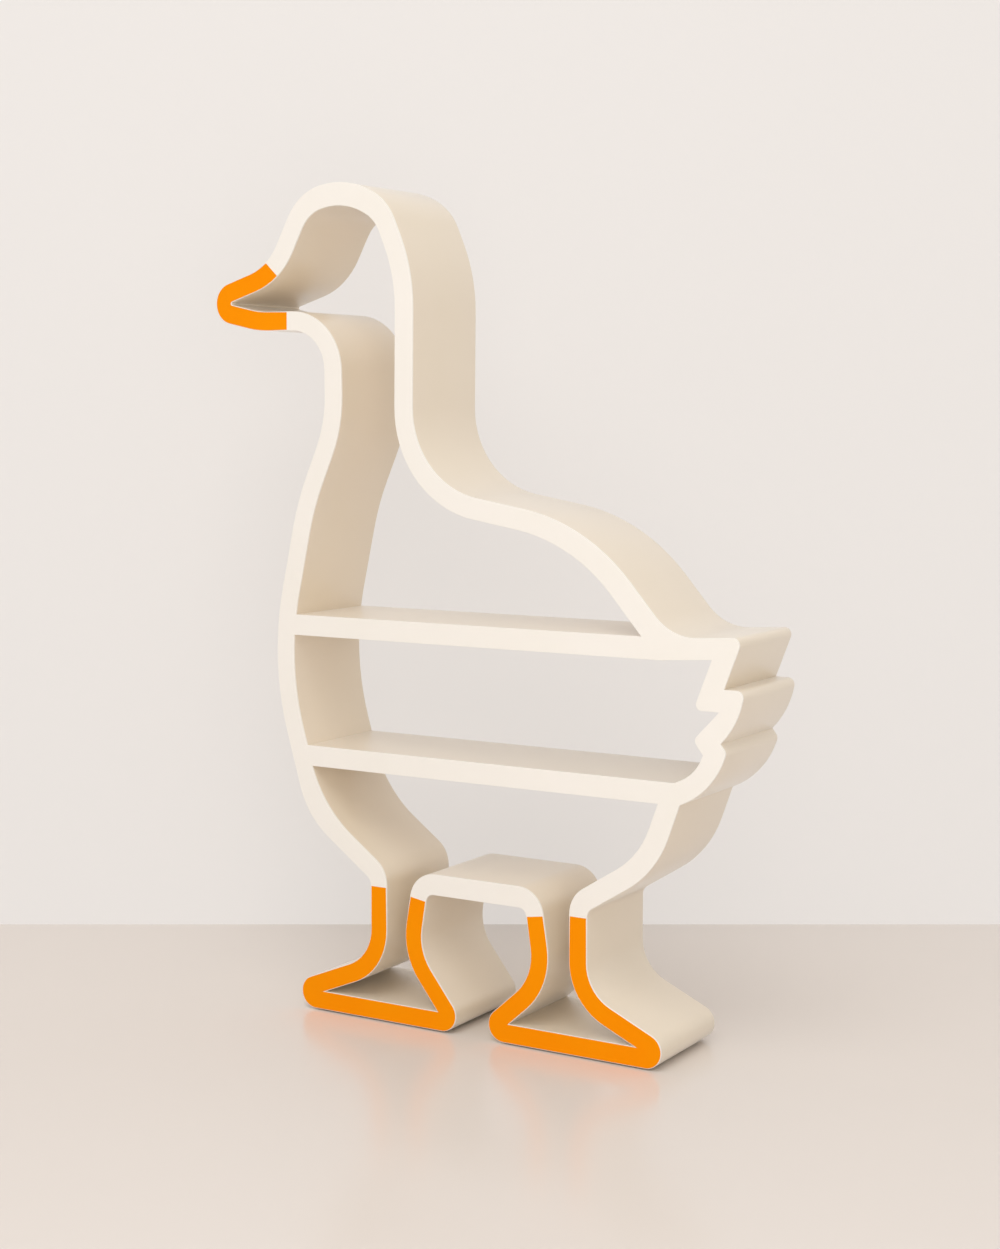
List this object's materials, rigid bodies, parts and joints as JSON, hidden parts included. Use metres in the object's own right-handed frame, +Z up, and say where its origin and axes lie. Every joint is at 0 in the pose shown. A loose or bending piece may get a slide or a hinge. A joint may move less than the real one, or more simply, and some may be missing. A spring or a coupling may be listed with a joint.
{
  "type": "goose-shaped free-standing open shelf",
  "caption": "Free-standing open shelf whose wall follows the outline of a standing goose, with shelves across its body, feathered tail, hollow feet and orange beak and feet.",
  "frame": {"origin": "middle of the bounding box at floor level", "axes": "+X from the beak towards the tail, +Y from the front face to the back, +Z up"},
  "size_m": [1.031, 0.2, 1.4495],
  "materials": {
    "lacquered_board": "satin cream lacquer on board",
    "face_lacquer": "satin off-white lacquer on thin board",
    "orange_inlay": "satin orange sheet",
    "bare_wood": "unfinished plywood",
    "glide_plastic": "moulded pale grey"
  },
  "bodies": {
    "root": {"beak": "lacquered_board", "crown": "lacquered_board", "nape": "lacquered_board", "back": "lacquered_board", "tail": "lacquered_board", "rump": "lacquered_board", "rear_foot": "lacquered_board", "leg_bridge": "lacquered_board", "front_foot": "lacquered_board", "belly": "lacquered_board", "breast": "lacquered_board", "throat": "lacquered_board", "upper_shelf": "lacquered_board", "lower_shelf": "lacquered_board", "front_face": "face_lacquer", "beak_inlay": "orange_inlay", "rear_foot_inlay": "orange_inlay", "front_foot_inlay": "orange_inlay", "loose_tongues": "bare_wood", "glides": "glide_plastic"}
  },
  "joints": []
}
